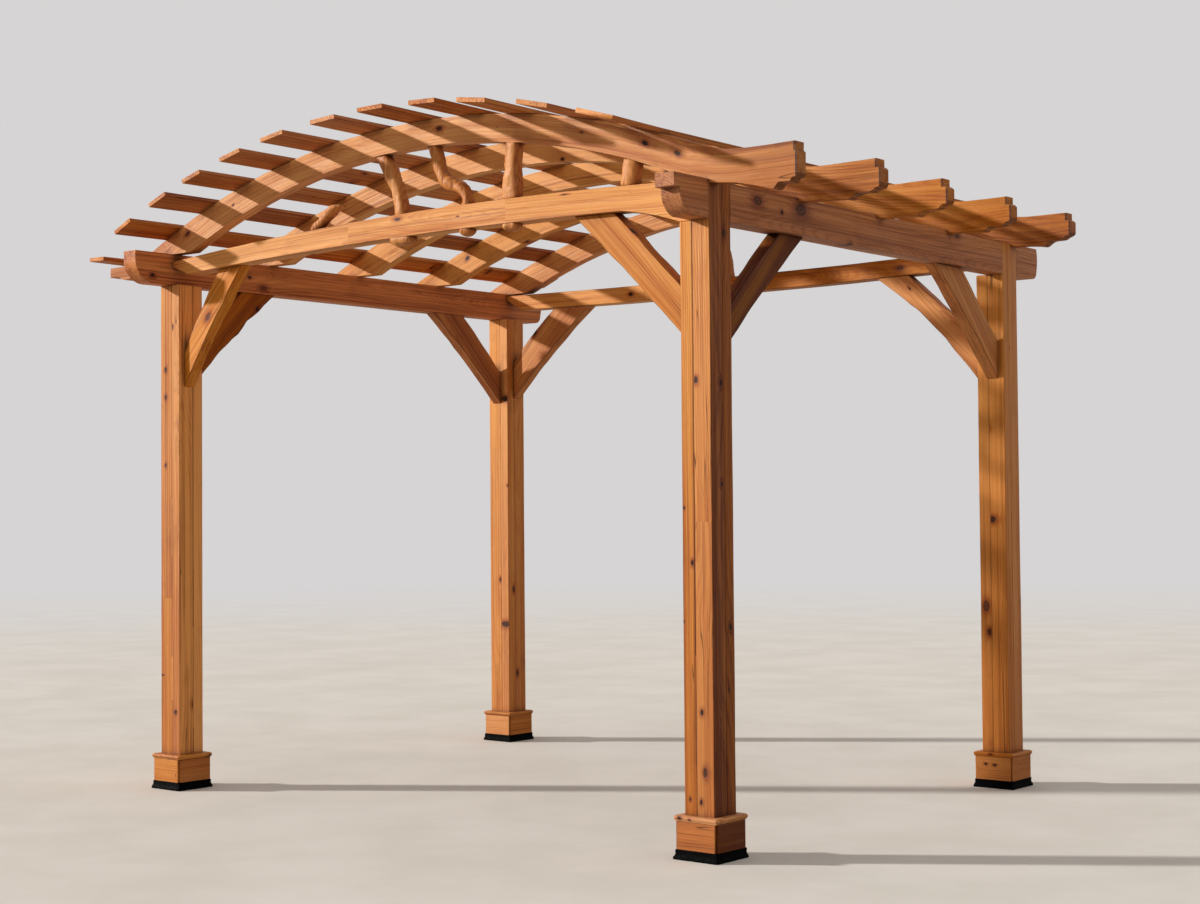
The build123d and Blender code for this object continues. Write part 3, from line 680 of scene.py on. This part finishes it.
def bend_brace(bm, node):
    """Lets a brace wander between its ends."""
    chop(bm, 2, 0.03)
    lo = min(v.co.z for v in bm.verts)
    hi = max(v.co.z for v in bm.verts)
    across = brace_axes(node)[1]
    most = WANDER.get(node, WANDER_LEAST) * 1.6
    for v in bm.verts:
        ends = min(1.0, max(0.0, (v.co.z - lo - 0.05) / 0.12), max(0.0, (hi - 0.03 - v.co.z) / 0.10))
        v.co += across * wave(v.co / 0.10, 3.0) * most * ends


def chisel_rafter(bm):
    """Roughens a rafter a little, and more under its right tail."""
    for v in bm.verts:
        v.co.z += 0.0016 * wave(v.co / 0.12)
        if v.co.x > 1.72 and v.co.z < 2.66:
            v.co.z += 0.0055 * wave(v.co / 0.035, 5.0) * min(1.0, (v.co.x - 1.72) / 0.05)


def bend_slats(bm):
    """Gives each slat its own length at both ends, and a slight bow and twist there."""
    for faces in islands(bm):
        verts = dict.fromkeys(v for f in faces for v in f.verts)
        longer = [rng.uniform(-0.006, 0.005) for _ in range(2)]
        bow, twist = rng.uniform(-0.0015, 0.0025), rng.uniform(-0.002, 0.002)
        mid = sum(v.co.x for v in verts) / len(verts)
        for v in verts:
            if abs(v.co.y) > 1.4:
                v.co.y += longer[v.co.y > 0]
            over = max(0.0, abs(v.co.y) - 1.25) / 0.3
            turned = twist * (v.co.x - mid) / 0.07
            v.co.z += over * (bow + turned * (1 if v.co.y > 0 else -1))


def timber(node):
    """A sawn piece: the CAD shape with eased arrises and slightly uneven faces."""
    bm = bmesh.new()
    bm.from_mesh(NODES[node].data)
    bmesh.ops.remove_doubles(bm, verts=bm.verts, dist=1e-5)
    bmesh.ops.dissolve_limit(bm, angle_limit=math.radians(0.3), verts=bm.verts[:],
                             edges=bm.edges[:])
    eased(bm, next((w for k, w in EASE.items() if node.startswith(k)), EASE_OTHERS))
    narrow = bm.faces.layers.int.new("narrow")
    for f in bm.faces:
        if f.calc_area() / max(e.calc_length() for e in f.edges) < 0.006:
            f[narrow] = 1
    for kind, (axis, step) in STEPS.items():
        if node.startswith(kind):
            joint = JOINTS.get(node, (0, ()))
            chop(bm, axis, step, joint[1] if joint[0] == axis else ())
    if "brace" in node:
        bend_brace(bm, node)
    elif node.startswith("rafter"):
        chisel_rafter(bm)
        cut_tail(bm)
    elif node.startswith("slats"):
        bend_slats(bm)
    uneven(bm, 0.0011, 0.35)
    bm.normal_update()
    arrises = {f for f in bm.faces if f[narrow]}
    shade = POST_SHADE if node.startswith("post") else TIMBER_SHADE
    paint(bm, node, boards(bm, node), arrises, shade)
    finish = "slat_wood" if node.startswith("slats") else "cedar"
    material = WOODS["calm_wood" if node.startswith(CALM) else finish]
    place(bm, "wood_" + node, material, node)


# ---------------------------------------------------------------- branches
VOXEL = 0.0055
SMOOTHING = 7           # times
SWELL = 0.0072          # how much thicker a branch is than its squared CAD shape
# Bumps on the bark side: height, size, and where in the noise they are read.
BUMPS = ((0.0066, 0.055, 0.0), (0.0028, 0.02, 4.0), (0.0012, 0.008, 8.0))


def branches(node):
    """Crooked spokes as peeled branches: rounded, swollen and knotty."""
    raw = bpy.data.objects.new("raw_" + node, NODES[node].data.copy())
    bpy.context.collection.objects.link(raw)
    mod = raw.modifiers.new("remesh", "REMESH")
    mod.mode = "VOXEL"
    mod.voxel_size = VOXEL
    mod = raw.modifiers.new("smooth", "SMOOTH")
    mod.factor = 0.5
    mod.iterations = SMOOTHING
    graph = bpy.context.evaluated_depsgraph_get()
    me = bpy.data.meshes.new_from_object(raw.evaluated_get(graph))
    bpy.data.objects.remove(raw)
    bm = bmesh.new()
    bm.from_mesh(me)
    bpy.data.meshes.remove(me)
    bm.normal_update()
    moves = []
    for v in bm.verts:
        p = Vector((v.co.x, v.co.y, v.co.z * 0.6))
        swell = SWELL + sum(high * wave(p / size, k) for high, size, k in BUMPS)
        moves.append(v.normal * swell)
    for v, d in zip(bm.verts, moves):
        v.co += d
    bm.normal_update()
    paint(bm, node, boards(bm, node))
    place(bm, "wood_" + node, WOODS["branch_wood"], node, smooth=True)


# ---------------------------------------------------------------- plinths and shoes
CORNER_GAP = 0.0095     # the boards of a plinth stop this far short of its corners
CORE_OUT = 0.001        # and its dark core reaches this far beyond their ends
BOARD_EASE = 0.0022


def on_corner(half, r, z, q, degrees):
    """A point on the rounded corner q of a square ring."""
    a = math.radians(degrees)
    x = (half - r) * (1 if q % 4 in (0, 3) else -1)
    y = (half - r) * (1 if q % 4 in (0, 1) else -1)
    return Vector((x + r * math.cos(a), y + r * math.sin(a), z))


def square_rings(bm, loops, steps=5, sides=8):
    """A square ring with rounded corners, from loops of (height, half width, corner radius)."""
    made = []
    for z, half, r in loops:
        ring = []
        for q in range(4):
            ring += [on_corner(half, r, z, q, 90 * q + 90 * i / steps) for i in range(steps + 1)]
            end, start = ring[-1], on_corner(half, r, z, q + 1, 90 * (q + 1))
            ring += [end.lerp(start, k / sides) for k in range(1, sides)]
        made.append([bm.verts.new(p) for p in ring])
    n = len(made[0])
    for low, high in zip(made, made[1:] + made[:1]):
        for i in range(n):
            bm.faces.new((low[i], low[(i + 1) % n], high[(i + 1) % n], high[i]))
    bmesh.ops.recalc_face_normals(bm, faces=bm.faces)


def box(bm, low, high, ease=0.0):
    mid = [(a + b) / 2 for a, b in zip(low, high)]
    size = [b - a for a, b in zip(low, high)]
    matrix = Matrix.Translation(mid) @ Matrix.Diagonal((*size, 1))
    geom = bmesh.ops.create_cube(bm, size=1.0, matrix=matrix)
    if ease:
        bevel(bm, list(dict.fromkeys(e for v in geom["verts"] for e in v.link_edges)), ease)


def settle(bm, at, amount, size):
    """Moves a piece to its post, and makes it uneven there."""
    for v in bm.verts:
        v.co += at
    uneven(bm, amount, size)
    bm.normal_update()


def plinth(node):
    """Four boards round a dark core that shows at the corners."""
    bm = bmesh.new()
    inner, reach = POST / 2 + 0.0015, PLINTH - CORNER_GAP
    low, high = SHOE_H + 0.0008, PLINTH_TOP - 0.0012
    for s in (-1, 1):
        a, b = sorted((s * inner, s * PLINTH))
        box(bm, (-reach, a, low), (reach, b, high), BOARD_EASE)
        box(bm, (a, -reach, low), (b, reach, high), BOARD_EASE)
    core = reach + CORE_OUT
    box(bm, (-core, -core, low), (core, core, high))
    chop(bm, 0, 0.04)
    chop(bm, 1, 0.04)
    settle(bm, corner_of(node), 0.0011, 0.16)
    groups = boards(bm, node)
    arrises = {f for f in bm.faces if max(abs(c) for c in f.normal) < 0.97}
    paint(bm, node, groups, arrises, PLINTH_SHADE)
    tone = bm.loops.layers.float_vector["tone"]
    for _, _, faces in groups:
        if min(spans(faces, 0), spans(faces, 1)) > 0.16:        # only the core is as broad
            for loop in (loop for f in faces for loop in f.loops):
                loop[tone] = CORE_TONE
    place(bm, "wood_" + node, WOODS["calm_wood"], node)


def cap(node):
    """Thin moulded cap: a small cove under a rounded lip."""
    bm = bmesh.new()
    at = corner_of(node)
    z, inner, top = PLINTH_TOP, POST / 2 + 0.0008, CAP_TOP
    square_rings(bm, [
        (z, inner, 0.001), (z, PLINTH - 0.0005, 0.003), (z + 0.0045, PLINTH + 0.0005, 0.004),
        (z + 0.0060, PLINTH + 0.0025, 0.006), (z + 0.0085, PLINTH + 0.0042, 0.008),
        (z + 0.0125, PLINTH + 0.0050, 0.009), (z + 0.0165, PLINTH + 0.0042, 0.010),
        (top - 0.0015, PLINTH + 0.0015, 0.010), (top, PLINTH - 0.0035, 0.009),
        (top - 0.0003, inner, 0.001)])
    settle(bm, at, 0.0008, 0.09)
    sides = {}
    for f in bm.faces:
        c = f.calc_center_median() - at
        key = None
        if abs(abs(c.x) - abs(c.y)) > 1e-4:
            across = abs(c.x) > abs(c.y)
            key = (across, (c.x if across else c.y) > 0)
        sides.setdefault(key, []).append(f)
    paint(bm, node, [(0, (k, 0), sides[k]) for k in sorted(sides, key=str)])
    place(bm, "wood_" + node, WOODS["cedar"], node)


def shoe(node):
    """Rough black shoe, flared at the ground."""
    bm = bmesh.new()
    at = corner_of(node)
    well = POST / 2 - 0.002
    square_rings(bm, [
        (0.0, well, 0.001), (0.0, PLINTH + 0.0050, 0.005), (0.004, PLINTH + 0.0062, 0.006),
        (0.010, PLINTH + 0.0055, 0.006), (0.016, PLINTH + 0.0020, 0.005),
        (0.022, PLINTH - 0.0002, 0.004), (0.030, PLINTH - 0.0004, 0.003),
        (0.036, PLINTH - 0.0002, 0.003), (SHOE_H, PLINTH - 0.0015, 0.003),
        (SHOE_H, well, 0.001)], 4, 16)
    for v in bm.verts:
        flat = v.co.z < 1e-6
        v.co += at
        p = v.co / 0.02
        d = Vector((wave(p), wave(p, 7.0), 0.5 * wave(v.co / 0.03, 11.0))) * 0.0016
        if flat or v.co.z + d.z < 0:
            d.z = 0.0
        v.co += d
    place(bm, "rubber_" + node, SHOE, node, smooth=True)


for name in sorted(NODES):
    if name.startswith("shoe"):
        shoe(name)
    elif name.startswith("plinth_cap"):
        cap(name)
    elif name.startswith("plinth"):
        plinth(name)
    elif "spokes" in name:
        branches(name)
    else:
        timber(name)


# ---------------------------------------------------------------- stage, light and camera
BACK = rgb(214, 212, 212)
FLOOR_A, FLOOR_B = rgb(226, 219, 210), rgb(217, 210, 200)
FLOOR_LIT = rgb(176, 169, 160)      # the colour with which the floor lights the object
FADE_FROM, FADE_TO = 5.5, 26.0      # the floor turns into the background between these
FILL_LOW, FILL_HIGH = 0.27, 0.62    # the sky's light from the horizon and from above
FILL_COLOUR = (1.0, 0.985, 0.97, 1)
KEY_DIR, KEY_POWER, KEY_SPREAD, KEY_COLOUR = (0.82, 0.57, -0.36), 3.9, 2.5, (1.0, 0.98, 0.95)
CAMERA_AT = (5.951, -7.1795, 1.3419)
YAW, PITCH, ROLL = -0.6851, 0.0288, -0.0079     # radians, from a level look along +Y
LENS, SENSOR = 57.84, 36.0


def floor():
    bm = bmesh.new()
    bmesh.ops.create_circle(bm, cap_ends=True, radius=60, segments=96)
    me = bpy.data.meshes.new("floor")
    bm.to_mesh(me)
    bm.free()
    ob = bpy.data.objects.new("floor", me)
    bpy.context.collection.objects.link(ob)
    T = Tree(bpy.data.materials.new("floor"))
    p = T.node("TexCoord").outputs["Object"]
    seen = T.node("LightPath").outputs["Is Camera Ray"]
    col = T.mix(T.step(T.noise(p, 1.4, 4.0, 0.6), 0.3, 0.7), FLOOR_A, FLOOR_B)
    col = T.mix(seen, FLOOR_LIT, col)
    sockets = {"Base Color": col, "Roughness": 0.9, "Specular IOR Level": 0.1}
    near = T.node("BsdfPrincipled", sockets).outputs[0]
    far = T.node("Emission", {"Color": BACK, "Strength": 1.0}).outputs[0]
    fade = T.mul(T.step(T.vm("LENGTH", p), FADE_FROM, FADE_TO), seen)
    me.materials.append(T.out(T.node("MixShader", {0: fade, 1: near, 2: far}).outputs[0]))


def sky():
    """Soft light from above for the object, and the plain background for the camera and gloss."""
    world = bpy.data.worlds.new("studio")
    bpy.context.scene.world = world
    T = Tree(world)
    up = T.split(T.node("TexCoord").outputs["Generated"])[2]
    level = T.node("MapRange", {0: up, 1: 0.0, 2: 1.0, 3: FILL_LOW, 4: FILL_HIGH}).outputs[0]
    light = T.node("Background", {0: FILL_COLOUR, 1: level}).outputs[0]
    back = T.node("Background", {0: BACK}).outputs[0]
    path = T.node("LightPath").outputs
    seen = T.node("Math", {0: path["Is Camera Ray"], 1: path["Is Glossy Ray"]}, operation="ADD",
                  use_clamp=True).outputs[0]
    T.node("OutputWorld", {"Surface": T.node("MixShader", {0: seen, 1: light, 2: back}).outputs[0]})


def key_light():
    data = bpy.data.lights.new("key", "SUN")
    data.energy = KEY_POWER
    data.angle = math.radians(KEY_SPREAD)
    data.color = KEY_COLOUR
    ob = bpy.data.objects.new("key", data)
    ob.rotation_mode = "QUATERNION"
    ob.rotation_quaternion = Vector(KEY_DIR).to_track_quat("-Z", "Y")
    bpy.context.collection.objects.link(ob)


def camera():
    data = bpy.data.cameras.new("camera")
    data.sensor_width = SENSOR
    data.lens = LENS
    ob = bpy.data.objects.new("camera", data)
    look = Vector((math.sin(YAW) * math.cos(PITCH), math.cos(YAW) * math.cos(PITCH),
                   math.sin(PITCH)))
    right = Vector((math.cos(YAW), -math.sin(YAW), 0.0))
    up = right.cross(look)
    x = right * math.cos(ROLL) + up * math.sin(ROLL)
    y = -right * math.sin(ROLL) + up * math.cos(ROLL)
    axes = Matrix((x, y, -look)).transposed().to_4x4()
    ob.matrix_world = Matrix.Translation(CAMERA_AT) @ axes
    bpy.context.collection.objects.link(ob)
    return ob


floor()
sky()
key_light()
scene = bpy.context.scene
scene.camera = camera()
scene.view_settings.view_transform = "Standard"
